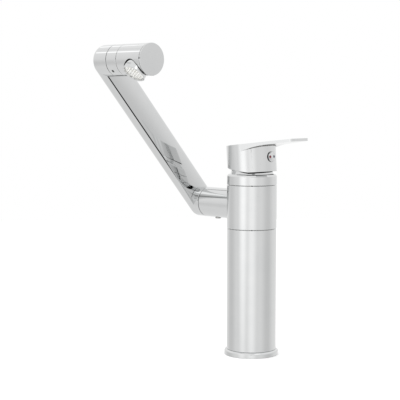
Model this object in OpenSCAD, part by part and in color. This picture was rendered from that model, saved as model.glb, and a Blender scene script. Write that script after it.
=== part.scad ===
// Basin mixer tap: a column with a turning section, a jointed arm and a turning outlet head.
// Origin at the centre of the foot ring's underside. +Z is up, the lever points to +X,
// the stub points to -X and the arm leans to -Y.

/* [Column] */
// Diameter of the turning section and the collar ring
body_d = 50; // [48:0.5:54]
// Diameter of the lower column tube
column_d = 49.6; // [48.4:0.2:51]
// Wall of the lower column tube
column_wall = 2; // [1.2:0.1:2.6]
// Height of the top of the lower column above the deck
column_top = 127; // [90:1:200]
// Height of the turning section
swivel_h = 43.2; // [41:0.2:55]
// Height of the collar ring
collar_h = 8.8; // [8:0.2:12]
// Gap at each seam between a turning piece and a fixed one
seam = 0.4; // [0.3:0.05:0.6]
// Break on the edges of the turned pieces
edge = 0.3; // [0.1:0.05:0.5]

/* [Foot] */
// Diameter of the foot ring
flange_d = 54.2; // [53:0.2:62]
// Height of the foot ring
flange_h = 5.5; // [4.5:0.1:9]
// Radius on the foot ring's shoulder
flange_round = 2.1; // [0.8:0.1:2.2]
// Bore of the foot ring
flange_bore_d = 40; // [36:0.5:42]
// Width of the rubber ring under the foot
gasket_w = 2.8; // [1.6:0.1:3]
// Thickness of the rubber ring under the foot
gasket_t = 2; // [1:0.1:2.4]

/* [Inlets and fixing] */
// Height of the inlet block above the foot ring
block_h = 15; // [14:0.5:24]
// Distance between the hot and the cold inlet
inlet_pitch = 15; // [14:0.5:17]
// Distance of the inlets behind the column's axis
inlet_back = 3; // [2:0.5:4]
// Thread diameter of the inlets
inlet_d = 10; // [9:0.5:11]
// Depth of the inlet threads
inlet_depth = 11; // [8:0.5:12]
// Outer diameter of the riser tubes
riser_d = 8; // [7:0.5:9]
// Bore of the riser tubes
riser_bore = 6; // [4:0.5:6]
// Diameter of the fixing stud
stud_d = 8; // [6:1:8]
// Distance of the fixing stud in front of the column's axis
stud_x = 12; // [12:0.5:13]
// Length of the fixing stud below the foot
stud_drop = 56; // [54:1:90]
// Diameter of the plain tip of the fixing stud
stud_tip_d = 6.6; // [5:0.1:6.8]
// Length of that tip
stud_tip = 7.8; // [4:0.1:8]
// Metal left above the stud's threaded hole
stud_cover = 4; // [2:0.5:6]
// Thickness of the deck that the kit clamps
deck_t = 30; // [5:1:34]
// Diameter of the clamp washer and of the rubber under the deck
clamp_d = 48; // [46:1:56]
// Width of the hose slot in the clamp washer
hose_slot = 27; // [26:0.5:29]
// Thickness of the rubber under the deck
deck_gasket_t = 3; // [2:0.5:4]
// Thickness of the clamp washer
clamp_t = 2.5; // [2:0.5:3]
// Height of the fixing nut
nut_h = 12; // [8:1:14]
// Width across the flats of the fixing nut
nut_flats = 13; // [13:0.5:15]

/* [Valve body and seals] */
// Diameter of the spindle that the turning section runs on
spindle_d = 41.9; // [41:0.1:42.4]
// Radial clearance of the turning fits
running_gap = 0.05; // [0.02:0.01:0.1]
// Length of the valve body inside the lower column
tail_h = 14; // [12:0.5:30]
// Depth of the riser sockets
socket_depth = 8; // [6:0.5:9]
// Height of the seals' and the stub's axis above the lower column
stub_up = 23; // [22:0.2:26]
// Cross-section diameter of the seal rings
o_ring = 2; // [1.6:0.1:2.2]
// Distance of each column seal from the stub's axis
seal_reach = 14.5; // [13.5:0.1:16]
// Height of the water channel round the spindle
channel_h = 14; // [10:0.5:16]
// Depth of the water channel round the spindle
channel_depth = 2.9; // [1.5:0.1:3]
// Width of the plastic glide rings
glide_w = 1.5; // [1:0.1:1.6]
// Thickness of the plastic glide rings
glide_t = 1.3; // [1:0.1:1.6]

/* [Cartridge] */
// Diameter of the cartridge
cartridge_d = 35; // [34.6:0.1:35.2]
// Height of the cartridge's wide part
cartridge_h = 24; // [23.5:0.1:26]
// Diameter of the cartridge's neck
neck_d = 29; // [28:0.2:30]
// Height of the cartridge's neck
neck_h = 9.5; // [9:0.1:10]
// Wall of the cartridge housing
housing_wall = 1.6; // [1.2:0.1:1.8]
// Height of the valve body's rim above the cartridge's shoulder
rim_h = 5; // [4:0.2:5.4]
// Outer diameter of the valve body's rim
rim_d = 39.2; // [38.8:0.1:39.6]
// Thickness of the ceramic discs
disc_t = 3.2; // [2.5:0.1:3.4]
// Diameter of the moving ceramic disc
disc_d = 23; // [20:0.5:24]
// Side of the square lever spindle
lever_bar = 8; // [7:0.5:8.4]
// Diameter of the lever's cross pin
pin_d = 3; // [2:0.5:3.4]
// Distance of the cross pin above the seat of the cartridge
pivot_up = 31; // [30.5:0.1:31.5]
// Distance from the cross pin down to the ball end of the lever spindle
ball_drop = 18; // [17.6:0.1:18.2]
// Gap between the neck dome and the inside of the handle hub
dome_gap = 1.45; // [1.3:0.05:1.7]
// Radius of the neck dome's shoulder
dome_round = 14; // [13:0.2:15]
// How far the neck dome's foot stands out past its wall
dome_foot = 3.2; // [2.6:0.1:3.2]
// Height of the steep slope above that foot
dome_slope_h = 1.5; // [1:0.1:1.6]
// Wall of the neck dome
dome_wall = 1.6; // [1.2:0.1:1.7]

/* [Handle] */
// Angle that the lever is lifted as drawn, from its closed place
lift_now = 3.8; // [0:0.2:12]
// Angle that the lever is turned as drawn, from its middle place
turn_now = 5.5; // [-30:0.5:30]
// Diameter of the handle hub
hub_d = 49.3; // [49.2:0.1:52]
// Gap between the collar ring and the handle hub with the lever closed
hub_gap = 3.5; // [3.4:0.1:5]
// Height of the handle hub on its axis
hub_h = 27.9; // [27.4:0.1:36]
// Wall of the handle hub
hub_wall = 1.8; // [1.4:0.1:1.9]
// Thickness of the hub's roof at the back
roof_t = 3.6; // [3:0.1:5]
// Slope of the slanting cut under the back of the hub
back_cut_slope = 11; // [10.5:0.5:16]
// Distance in front of the axis at which that cut starts
back_cut_x = 11.5; // [10:0.5:16]
// Slope of the handle's top, rising to the lever's tip
top_slope = 2.7; // [0:0.1:8]
// Slope of the lever's underside
under_slope = 3.4; // [1:0.1:8]
// Distance from the column's axis to the lever's tip
lever_reach = 61.3; // [48:0.1:66]
// Width of the lever's tip
tip_w = 28.2; // [18:0.2:34]
// Radius on the corners of the lever's tip
tip_round = 3.7; // [2:0.1:8]
// Thickness of the lever at its tip
tip_t = 2.7; // [2:0.1:5]
// Radius of the curve under the lever's root
root_r = 92; // [60:1:120]
// Distance from the axis at which that curve starts
root_x = 32; // [28:0.5:40]
// Diameter of the index plug
plug_d = 10.4; // [8:0.1:11]
// How far the index plug stands out of the hub
plug_out = 1.5; // [0.6:0.1:2.4]
// Height of the index plug's axis above the cross pin
plug_up = 8.7; // [8.6:0.1:10]
// Diameter of the hot and cold marks
mark_d = 2.3; // [1.4:0.1:2.6]
// Distance between the hot and cold marks
mark_pitch = 5.6; // [3:0.1:6]
// Diameter of the handle's grub screw
grub_d = 5; // [4:1:5]

/* [Stub and arm] */
// Width of the arm, which is also the diameter of its hubs, the stub and the head
arm_w = 30.4; // [28:0.2:32]
// Distance from the column's axis to the seam at the end of the stub
stub_reach = 62; // [61.5:0.5:80]
// Distance between the arm's two axes
arm_length = 190; // [120:1:260]
// Lean of the arm from upright as drawn
arm_lean = 41.5; // [0:0.5:85]
// Thickness of the arm
arm_t = 12; // [11:0.2:16]
// Width of the seams at the elbow and at the head
joint_seam = 0.6; // [0.4:0.05:0.8]
// Radius on the arm's inner edges
arm_round_in = 4.8; // [3:0.1:6]
// Radius of the slight crown across the arm's inner face
arm_crown_r = 80; // [60:5:400]
// Length of the arm's hub between the elbow seam and the arm's inner face
elbow_hub = 5.4; // [4:0.1:12]
// Length of the arm's hub between the arm's inner face and the head seam
head_hub = 10.7; // [4:0.1:14]
// Diameter of the water channel in the arm
arm_bore = 7; // [5:0.5:7]
// Diameter of the elbow's hollow shaft
elbow_shaft_d = 18; // [16:0.5:19]
// Bore of the elbow's hollow shaft
elbow_shaft_bore = 11; // [8:0.5:12]
// Length of the elbow's hollow shaft inside the stub
elbow_shaft_in = 34; // [30:0.5:36]
// Diameter of the elbow's grub screw
elbow_screw_d = 6; // [5:0.5:6]
// Distance of the elbow's grub screw from the elbow seam
elbow_screw_in = 14.4; // [13:0.2:19]
// How far the elbow's grub screw stands out of the stub
elbow_screw_out = 1.3; // [0:0.1:1.6]

/* [Head] */
// Length of the head ring
ring_len = 14.2; // [13:0.2:18]
// Length of the head shell
shell_len = 32.8; // [32:0.2:40]
// Thickness of the head's end cap
cap_t = 1.2; // [0.8:0.1:2]
// Gap at the seams between the head's fixed pieces
line_gap = 0.35; // [0.2:0.05:0.5]
// Diameter of the head's hollow shaft
head_shaft_d = 16; // [14:0.5:17]
// Bore of the head's hollow shaft
head_shaft_bore = 9; // [7:0.5:10]
// Diameter of the head ring's grub screw
head_screw_d = 3; // [2.5:0.5:4]
// Distance of that screw from the head seam
head_screw_in = 6; // [5:0.2:7]
// Angle of that screw from straight down, turning to -Y
head_screw_angle = 46; // [0:1:90]
// Angle of the outlet from straight down, turning to -Y
outlet_angle = 38; // [0:1:90]
// Distance of the outlet's axis from the head's free end
outlet_in = 14.1; // [13.9:0.1:16]
// Diameter of the aerator collar
aerator_d = 22.6; // [21:0.2:22.8]
// Gap round the aerator collar at its opening
aerator_gap = 0.9; // [0.4:0.1:1]
// Distance of the aerator's mouth from the head's axis
mouth_reach = 17.3; // [16.4:0.1:20]
// Wall of the aerator collar
aerator_wall = 1.4; // [1:0.1:1.8]
// Length of the aerator collar
aerator_len = 11.4; // [10:0.1:12]
// Depth of the flow former behind the mouth
former_depth = 2; // [0.5:0.1:3]
// Thickness of the flow former
former_t = 3; // [2:0.1:3.4]

/* [Hidden] */
$fn = 96;

// Clearance of screwed, pressed and loose fits
thread_gap = 0.05;
slip_gap = 0.1;
// Room left at the end of a blind hole
blind_gap = 0.5;
// A little extra on cutting shapes, so that a cut runs past its face
over = 1;
// Small overlap that makes a curve cross a face instead of only touching it
blend = 0.03;

body_r = body_d / 2;
column_r = column_d / 2;
column_in_r = column_r - column_wall;
tail_r = column_in_r - thread_gap;
spindle_r = spindle_d / 2;
swivel_bore_r = spindle_r + running_gap;
seal_r = o_ring / 2;

stud_tip_r = stud_tip_d / 2;
block_foot_r = flange_bore_d / 2 - slip_gap;
block_bottom = 0;
block_top = flange_h + block_h;
stud_top = block_top - stud_cover - blind_gap;
gasket_mid_r = (flange_bore_d / 2 + flange_d / 2) / 2;

tail_bottom = column_top - tail_h;
swivel_bottom = column_top + seam;
shoulder_z = swivel_bottom - running_gap - glide_t;
swivel_top = swivel_bottom + swivel_h;
collar_bottom = swivel_top + seam;
collar_top = collar_bottom + collar_h;
stub_z = column_top + stub_up;

pocket_r = cartridge_d / 2 + slip_gap;
rim_r = rim_d / 2;
neck_r = neck_d / 2;
nut_thread_r = pocket_r + 0.5;
rim_top = collar_top + 7.2;
cartridge_shoulder = rim_top - rim_h;
seat_z = cartridge_shoulder - cartridge_h;
neck_top = cartridge_shoulder + neck_h;
pivot_z = seat_z + pivot_up;

base_top = seat_z + disc_t;
fixed_disc_top = base_top + disc_t;
moving_disc_top = fixed_disc_top + disc_t;
carrier_top = moving_disc_top + 5;
turret_bottom = carrier_top + 0.4;
housing_in_r = cartridge_d / 2 - housing_wall;
turret_flange_r = housing_in_r - slip_gap;
turret_neck_r = neck_r - 2.2;
turret_step = turret_bottom + 5.6;
turret_top = neck_top - 0.7;
port_x = -inlet_back;
port_y = inlet_pitch / 2;
outlet_x = 8.5;
port_r = riser_bore / 2 - 0.1;
seal_ring_r = port_r + 1.2;
lift_max = 20;
ball_r = 2.5;
ball_x = ball_drop * sin(lift_now);
ball_travel = ball_drop * sin(lift_max);
pocket_offset = ball_travel / 2;
carrier_x = ball_x - pocket_offset;

hub_bottom = collar_top + hub_gap;
hub_top = hub_bottom + hub_h;
hub_r = hub_d / 2;
hub_in_r = hub_r - hub_wall;
roof_z = hub_top - hub_r * tan(top_slope) - roof_t;
plug_z = pivot_z + plug_up;
boss_r = 8;
dome_d = hub_d - 2 * (hub_wall + dome_gap);
dome_top_r = dome_d / 2 - 0.65;
dome_round_z = collar_top + 4.7;
dome_step = 0.2;
dome_slope_w = 1;
dome_shelf_h = 0.45;
boss_bottom = plug_z - grub_d / 2;
tip_y = tip_w / 2 - tip_round;
tip_x = lever_reach - tip_round;

arm_half = arm_w / 2;
arm_in = stub_reach + elbow_hub;
arm_out = arm_in + arm_t;
arm_mid = arm_in + arm_t / 2;
arm_round_x = arm_half - arm_round_in;
// How far the crown drops to the middle of the rounding, and where crown and rounding meet
crown_drop = arm_crown_r - arm_round_in - sqrt(pow(arm_crown_r - arm_round_in, 2) - pow(arm_round_x, 2));
crown_x = arm_round_x * arm_crown_r / (arm_crown_r - arm_round_in);
// How far the crown lies back so that the two curves cross, and how far they overlap
crown_sink = 0.004;
crown_lap = 0.3;
arm_round_z = arm_in + arm_round_in + crown_drop;
arm_round_out = arm_out - arm_round_z;
head_seam = arm_in - head_hub;
stub_end = stub_reach - joint_seam / 2;
elbow_hub_end = stub_reach + joint_seam / 2;
elbow_shaft_r = elbow_shaft_d / 2;
elbow_bore_r = elbow_shaft_r + running_gap;
elbow_shaft_tip = stub_reach - elbow_shaft_in;
elbow_screw_at = stub_reach - elbow_screw_in;
elbow_screw_r = elbow_screw_d / 2;
groove_depth = 1.4;
shaft_socket = arm_mid - 1;

head_hub_end = head_seam + joint_seam / 2;
ring_out = head_seam - joint_seam / 2;
ring_end = ring_out - ring_len;
shell_out = ring_end - line_gap;
shell_end = shell_out - shell_len;
cap_out = shell_end - line_gap;
cap_end = cap_out - cap_t;
head_shaft_r = head_shaft_d / 2;
head_bore_r = head_shaft_r + running_gap;
head_screw_at = head_seam - head_screw_in;
head_screw_r = head_screw_d / 2;
spigot_r = arm_half - 3.2;
spigot_len = 4;
outlet_at = cap_end + outlet_in;
aerator_r = aerator_d / 2;
aerator_in_r = aerator_r - aerator_wall;
aerator_back = mouth_reach - aerator_len;
washer_t = 1.5;
former_r = aerator_in_r - thread_gap;
former_front = mouth_reach - former_depth;
head_bore_len = 9;

clamp_top = -deck_t - deck_gasket_t;
nut_top = clamp_top - clamp_t;

// Places of the seals on the two hollow shafts, along the stub's direction
elbow_seals = [elbow_screw_at - elbow_screw_r - 6, elbow_screw_at + elbow_screw_r + 6];
head_seals = [head_seam - head_screw_in + head_screw_r + 2.3, ring_end + 3];

// Tube from z0 up to z1
module tube(z0, z1, outer_r, inner_r) {
    difference() {
        translate([0, 0, z0]) cylinder(h = z1 - z0, r = outer_r);
        translate([0, 0, z0 - over]) cylinder(h = z1 - z0 + 2 * over, r = inner_r);
    }
}

// Turned sleeve with broken outer edges
module sleeve(z0, z1, outer_r, inner_r, break = edge) {
    rotate_extrude() polygon([
        [inner_r, z0], [outer_r - break, z0], [outer_r, z0 + break],
        [outer_r, z1 - break], [outer_r - break, z1], [inner_r, z1]]);
}

// Cylinder from z0 to z1
module rod(z0, z1, r) {
    translate([0, 0, z0]) cylinder(h = z1 - z0, r = r);
}

// Ring of round section about the Z axis at height z
module seal_ring(z, groove_r, section_r) {
    translate([0, 0, z]) rotate_extrude() translate([groove_r + section_r, 0]) circle(r = section_r);
}

// Grub screw along +Z with its tip at the bottom and a hexagon socket on top
module grub_screw(z0, z1, r) {
    difference() {
        rotate_extrude() polygon([
            [0, z0], [r * 0.7, z0], [r, z0 + r * 0.3], [r, z1 - 0.2], [r - 0.2, z1], [0, z1]]);
        translate([0, 0, z1 - r]) cylinder(h = r + over, r = r * 0.55, $fn = 6);
    }
}

// Local Z runs outwards along the stub from the column's axis, local Y is up, local X is to -Y
module stub_frame() {
    translate([0, 0, stub_z]) rotate([90, 0, -90]) children();
}

// The stub's frame turned so that local Y runs up the arm
module arm_frame() {
    stub_frame() rotate([0, 0, -arm_lean]) children();
}

// The stub's frame moved to the head's axis
module head_frame() {
    stub_frame()
        translate([arm_length * sin(arm_lean), arm_length * cos(arm_lean), 0])
            children();
}

// Local Z runs out of the head at an angle from straight down, at a distance along the head
module head_side_frame(at, angle) {
    head_frame() translate([0, 0, at]) rotate([90, 0, angle]) children();
}

// What turns with the lever for the temperature
module turned() {
    rotate([0, 0, turn_now]) children();
}

// The handle's own frame, upright when closed and lifted about the cross pin as drawn
module handle_frame() {
    turned()
        translate([0, 0, pivot_z])
            rotate([0, -lift_now, 0])
                translate([0, 0, -pivot_z])
                    children();
}

// Local Z runs along +X at the index plug's height in the handle's frame
module plug_frame() {
    handle_frame() translate([0, 0, plug_z]) rotate([0, 90, 0]) children();
}

module base_flange() {
    color("gainsboro") difference() {
        rotate_extrude() {
            difference() {
                square([flange_d / 2, flange_h]);
                translate([flange_d / 2 - flange_round, flange_h - flange_round])
                    square([flange_round + over, flange_round + over]);
                translate([flange_d / 2 - edge, -over]) square([edge + over, edge + over]);
            }
            translate([flange_d / 2 - flange_round, flange_h - flange_round])
                circle(r = flange_round);
        }
        translate([0, 0, -over]) cylinder(h = flange_h + 2 * over, r = flange_bore_d / 2);
        tube(-over, gasket_t, gasket_mid_r + gasket_w / 2 + slip_gap, gasket_mid_r - gasket_w / 2 - slip_gap);
    }
}

module base_gasket() {
    color("dimgray") tube(0, gasket_t, gasket_mid_r + gasket_w / 2, gasket_mid_r - gasket_w / 2);
}

// A child placed at the cold inlet and, mirrored, at the hot one
module at_inlets() {
    for (side = [-1, 1]) {
        translate([port_x, side * port_y, 0]) children();
    }
}

module inlet_block() {
    color("goldenrod") difference() {
        union() {
            rod(block_bottom, flange_h + over, block_foot_r);
            rod(flange_h, block_top, tail_r);
        }
        at_inlets() {
            rod(block_bottom - over, block_bottom + inlet_depth, inlet_d / 2);
            rod(block_bottom, block_top, riser_bore / 2);
            rod(block_top - socket_depth, block_top + over, riser_d / 2 + thread_gap);
        }
        translate([stud_x, 0, 0]) rod(block_bottom - over, block_top - stud_cover, stud_d / 2 + thread_gap);
    }
}

module lower_column() {
    color("silver") sleeve(flange_h, column_top, column_r, column_in_r);
}

module riser(side) {
    translate([port_x, side * port_y, 0])
        tube(block_top - socket_depth, tail_bottom + socket_depth, riser_d / 2, riser_bore / 2);
}

module hot_riser() {
    color("peru") riser(-1);
}

module cold_riser() {
    color("peru") riser(1);
}

module valve_body() {
    groove_r = swivel_bore_r - o_ring;
    color("goldenrod") difference() {
        union() {
            rod(tail_bottom, shoulder_z, tail_r);
            rod(shoulder_z - over, collar_top, spindle_r);
            rod(collar_top - over, rim_top, rim_r);
        }
        rod(seat_z, rim_top + over, pocket_r);
        rod(cartridge_shoulder, rim_top + over, nut_thread_r);
        tube(stub_z - channel_h / 2, stub_z + channel_h / 2, spindle_r + over, spindle_r - channel_depth);
        for (side = [-1, 1]) {
            translate([0, 0, side * seal_reach])
                tube(stub_z - o_ring * 0.65, stub_z + o_ring * 0.65, spindle_r + over, groove_r);
        }
        at_inlets() {
            rod(tail_bottom, seat_z + over, port_r);
            rod(tail_bottom - over, tail_bottom + socket_depth, riser_d / 2 + thread_gap);
        }
        translate([outlet_x, 0, 0]) rod(stub_z, seat_z + over, port_r + 0.8);
        translate([outlet_x, 0, stub_z]) rotate([0, 90, 0]) cylinder(h = spindle_r, r = port_r + 0.8);
    }
}

module lower_glide_ring() {
    color("white") tube(shoulder_z, swivel_bottom - running_gap, swivel_bore_r + slip_gap + glide_w,
        swivel_bore_r + slip_gap);
}

module upper_glide_ring() {
    color("white") tube(swivel_top + running_gap, swivel_top + running_gap + glide_t,
        swivel_bore_r + slip_gap + glide_w, swivel_bore_r + slip_gap);
}

module swivel_o_rings() {
    color("dimgray") for (side = [-1, 1]) {
        seal_ring(stub_z + side * seal_reach, swivel_bore_r - o_ring, seal_r - running_gap / 2);
    }
}

module collar_ring() {
    color("gainsboro") difference() {
        sleeve(collar_bottom, collar_top, body_r, spindle_r + thread_gap);
        rod(collar_bottom - over, swivel_top + running_gap + glide_t,
            swivel_bore_r + 2 * slip_gap + glide_w);
    }
}

// Half section of the neck dome above its flared foot, or of its inside when shrunk by a wall
module dome_section(inset) {
    round_r = dome_round - inset;
    translate([0, collar_top - over]) square([dome_top_r - inset, dome_round_z - collar_top + over]);
    intersection() {
        translate([dome_top_r - dome_round, dome_round_z]) circle(r = round_r);
        translate([0, dome_round_z]) square([dome_d, dome_round]);
    }
    translate([0, dome_round_z - over]) square([dome_top_r - dome_round + over, round_r]);
}

// Half section of the flared foot, steep at the rim, flatter above, and leaning in to the wall
module dome_flare() {
    foot_r = dome_d / 2 + dome_foot;
    polygon([
        [0, collar_top], [foot_r, collar_top], [foot_r, collar_top + dome_step],
        [foot_r - dome_slope_w, collar_top + dome_slope_h],
        [dome_d / 2, collar_top + dome_slope_h + dome_shelf_h],
        [dome_top_r, dome_round_z], [0, dome_round_z]]);
}

module neck_dome() {
    color("gainsboro") difference() {
        rotate_extrude() difference() {
            union() {
                dome_section(0);
                dome_flare();
            }
            square([neck_r + slip_gap, rim_top + dome_round]);
            square([dome_d, collar_top]);
        }
        rotate_extrude() {
            intersection() {
                dome_section(dome_wall);
                square([rim_r + thread_gap, rim_top + dome_round]);
            }
            square([rim_r + thread_gap, rim_top + slip_gap]);
        }
    }
}

module cartridge_nut() {
    color("goldenrod") difference() {
        tube(cartridge_shoulder, rim_top, nut_thread_r - thread_gap, neck_r + slip_gap);
        for (turn = [0, 90]) {
            rotate([0, 0, turn])
                translate([-rim_r, -1.5, rim_top - 1.6])
                    cube([rim_d, 3, 1.6 + over]);
        }
    }
}

module cartridge_housing() {
    color("whitesmoke") difference() {
        union() {
            rod(base_top, cartridge_shoulder, cartridge_d / 2);
            rod(cartridge_shoulder - over, neck_top, neck_r);
        }
        rod(base_top - over, turret_step + slip_gap, housing_in_r);
        rod(turret_step, neck_top + over, turret_neck_r + slip_gap);
    }
}

// A child placed at the two inlet ports and at the outlet port of the cartridge
module at_ports() {
    at_inlets() children();
    translate([outlet_x, 0, 0]) children();
}

module cartridge_base() {
    color("whitesmoke") difference() {
        rod(seat_z + 0.3, base_top, cartridge_d / 2);
        at_ports() {
            rod(seat_z, base_top + over, port_r);
            rod(seat_z, seat_z + 1.6, seal_ring_r + thread_gap);
        }
    }
}

module cartridge_seals() {
    color("dimgray") at_ports() tube(seat_z, seat_z + 1.6, seal_ring_r, port_r);
}

module fixed_disc() {
    color("white") difference() {
        rod(base_top, fixed_disc_top, housing_in_r - slip_gap);
        at_ports() rod(base_top - over, fixed_disc_top + over, port_r);
    }
}

module moving_disc() {
    color("white") turned() translate([carrier_x, 0, 0]) difference() {
        rod(fixed_disc_top, moving_disc_top, disc_d / 2);
        rod(fixed_disc_top - over, fixed_disc_top + disc_t / 2, disc_d / 2 - 3);
    }
}

module disc_carrier() {
    pocket = ball_r + 0.35;
    color("lightgray") turned() difference() {
        translate([carrier_x, 0, 0]) rod(moving_disc_top, carrier_top, disc_d / 2);
        translate([ball_x - pocket, -pocket, moving_disc_top + 0.5])
            cube([2 * pocket, 2 * pocket, carrier_top]);
    }
}

// The slot that the lever spindle swings in, seen from the side
module swing_slot() {
    half = lever_bar / 2 + 0.5;
    drop = pivot_z - turret_bottom + over;
    rise = turret_top - pivot_z + over;
    translate([0, lever_bar / 2 + 0.15, pivot_z])
        rotate([90, 0, 0])
            linear_extrude(lever_bar + 0.3)
                polygon([
                    [-half, -drop], [half + drop * tan(lift_max) + 0.6, -drop],
                    [half + 0.6, 0], [half, rise], [-half - rise * tan(lift_max) - 0.6, rise],
                    [-half - 0.6, 0]]);
}

module lever_turret() {
    color("lightgray") turned() difference() {
        union() {
            rod(turret_bottom, turret_step, turret_flange_r);
            rod(turret_step - over, turret_top, turret_neck_r);
        }
        swing_slot();
        translate([0, 0, pivot_z]) rotate([90, 0, 0])
            rod(-turret_neck_r - over, turret_neck_r + over, pin_d / 2);
    }
}

module lever_pin() {
    color("silver") turned() translate([0, 0, pivot_z]) rotate([90, 0, 0])
        rod(-turret_neck_r + 0.4, turret_neck_r - 0.4, pin_d / 2);
}

module lever_spindle() {
    ball_z = pivot_z - ball_drop;
    bar_bottom = ball_z + 4;
    color("silver") handle_frame() difference() {
        union() {
            translate([-lever_bar / 2, -lever_bar / 2, bar_bottom])
                cube([lever_bar, lever_bar, roof_z - bar_bottom - 1]);
            rod(ball_z, bar_bottom + over, ball_r - 0.4);
            translate([0, 0, ball_z]) sphere(r = ball_r);
        }
        translate([0, 0, pivot_z]) rotate([90, 0, 0])
            rod(-lever_bar, lever_bar, pin_d / 2 + running_gap);
    }
}

// Everything below the sloping top of the handle
module below_top() {
    translate([0, 0, hub_top])
        rotate([0, -top_slope, 0])
            translate([-hub_d * 2, -hub_d * 2, -hub_d * 2])
                cube([hub_d * 4, hub_d * 4, hub_d * 2]);
}

// Seen from above: the hub's circle and the two straight sides that meet it smoothly
module lever_outline() {
    span = norm([tip_x, tip_y]);
    root = hub_r - blend;
    turn = atan2(tip_y, tip_x) + acos((root - tip_round) / span);
    side = [cos(turn), sin(turn)];
    corner = [tip_x, tip_y];
    polygon([
        [0, 0], root * side, corner + tip_round * side, [lever_reach, tip_y],
        [lever_reach, -tip_y],
        [corner[0] + tip_round * side[0], -corner[1] - tip_round * side[1]],
        [root * side[0], -root * side[1]]]);
    for (at_y = [-tip_y, tip_y]) {
        translate([tip_x, at_y]) circle(r = tip_round);
    }
}

// Seen from the side: what the slanting cut takes away under the back of the hub
module back_cut() {
    fall = over / tan(back_cut_slope);
    polygon([
        [back_cut_x + fall, hub_bottom - over], [-hub_d, hub_bottom - over],
        [-hub_d, hub_bottom + (hub_d + back_cut_x) * tan(back_cut_slope)]]);
}

// Seen from the side: the plate, thin at the tip and curving down into the hub
module lever_side() {
    tip_under = hub_top + lever_reach * tan(top_slope) - tip_t;
    root_under = tip_under - (lever_reach - root_x) * tan(under_slope);
    difference() {
        polygon([
            [0, hub_bottom + 6], [root_x, hub_bottom + 6], [root_x, root_under],
            [lever_reach + over, tip_under + over * tan(under_slope)],
            [lever_reach + over, hub_top + hub_r], [0, hub_top + hub_r]]);
        translate([root_x + root_r * sin(under_slope), root_under - root_r * cos(under_slope) + blend])
            circle(r = root_r, $fn = 360);
    }
}

module handle() {
    color("gainsboro") handle_frame() difference() {
        intersection() {
            union() {
                difference() {
                    rod(hub_bottom, hub_top + hub_r, hub_r);
                    translate([0, hub_r + over, 0]) rotate([90, 0, 0])
                        linear_extrude(hub_d + 2 * over) back_cut();
                }
                intersection() {
                    translate([0, 0, hub_bottom]) linear_extrude(hub_h + hub_r) lever_outline();
                    translate([0, hub_r + over, 0]) rotate([90, 0, 0])
                        linear_extrude(hub_d + 2 * over) lever_side();
                }
            }
            below_top();
        }
        difference() {
            rod(hub_bottom - over, roof_z, hub_in_r);
            rod(boss_bottom, roof_z + over, boss_r);
        }
        translate([-lever_bar / 2 - slip_gap, -lever_bar / 2 - slip_gap, boss_bottom - over])
            cube([lever_bar + 2 * slip_gap, lever_bar + 2 * slip_gap, roof_z - boss_bottom + over - 0.5]);
        translate([0, 0, plug_z]) rotate([0, 90, 0]) {
            rod(0, hub_r, grub_d / 2 + thread_gap);
            rod(hub_in_r - 0.2, hub_r + over, plug_d / 2 + thread_gap);
        }
    }
}

module handle_grub_screw() {
    color("dimgray") plug_frame() grub_screw(lever_bar / 2, boss_r + 6, grub_d / 2);
}

// The domed face of the index plug lies on this sphere
module plug_ball(extra) {
    face_r = plug_d * 1.4;
    translate([0, 0, hub_r + plug_out - face_r]) sphere(r = face_r + extra);
}

module index_plug() {
    color("gainsboro") plug_frame() difference() {
        intersection() {
            rod(hub_in_r, hub_r + plug_out, plug_d / 2);
            plug_ball(0);
        }
        for (side = [-1, 1]) {
            translate([0, side * mark_pitch / 2, 0])
                rod(hub_r + plug_out - 0.9, hub_r + plug_out + over, mark_d / 2);
        }
    }
}

module mark(side) {
    plug_frame() intersection() {
        translate([0, side * mark_pitch / 2, 0])
            rod(hub_r + plug_out - 0.9, hub_r + plug_out + over, mark_d / 2);
        plug_ball(0.05);
    }
}

module hot_mark() {
    color("crimson") mark(-1);
}

module cold_mark() {
    color("midnightblue") mark(1);
}

module swivel_section() {
    color("gainsboro") difference() {
        union() {
            sleeve(swivel_bottom, swivel_top, body_r, swivel_bore_r);
            stub_frame() sleeve(0, stub_end, arm_half, 0);
        }
        rod(swivel_bottom - over, swivel_top + over, swivel_bore_r);
        stub_frame() {
            rod(0, stub_reach, elbow_shaft_bore / 2);
            rod(elbow_shaft_tip - seam, stub_reach, elbow_bore_r);
        }
        stub_frame() translate([0, 0, elbow_screw_at]) rotate([90, 0, 0])
            rod(0, arm_w, elbow_screw_r + thread_gap);
    }
}

module elbow_grub_screw() {
    color("silver") stub_frame() translate([0, 0, elbow_screw_at]) rotate([90, 0, 0])
        grub_screw(elbow_shaft_r - groove_depth + 0.3, arm_half + elbow_screw_out, elbow_screw_r);
}

// Hollow shaft from tip to root with a groove for a grub screw and two seal grooves
module hollow_shaft(tip, root, shaft_r, bore_r, screw_at, screw_r, seals) {
    difference() {
        rod(tip, root, shaft_r);
        rod(tip - over, root + over, bore_r);
        tube(screw_at - screw_r - 0.4, screw_at + screw_r + 0.4, shaft_r + over, shaft_r - groove_depth);
        for (at = seals) {
            tube(at - o_ring * 0.65, at + o_ring * 0.65, shaft_r + over, shaft_r + running_gap - o_ring);
        }
    }
}

module elbow_shaft() {
    color("goldenrod") stub_frame()
        hollow_shaft(elbow_shaft_tip, shaft_socket, elbow_shaft_r, elbow_shaft_bore / 2,
            elbow_screw_at, elbow_screw_r, elbow_seals);
}

module elbow_o_rings() {
    color("dimgray") stub_frame() for (at = elbow_seals) {
        seal_ring(at, elbow_bore_r - o_ring, seal_r - running_gap / 2);
    }
}

// Half of the arm's cross-section: across from the axis, and out along the stub
module arm_outer_section() {
    translate([0, arm_round_z]) square([arm_half - arm_round_out, arm_round_out]);
    intersection() {
        translate([arm_half - arm_round_out, arm_round_z]) circle(r = arm_round_out);
        translate([0, arm_round_z]) square([arm_half, arm_round_out]);
    }
}

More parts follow.
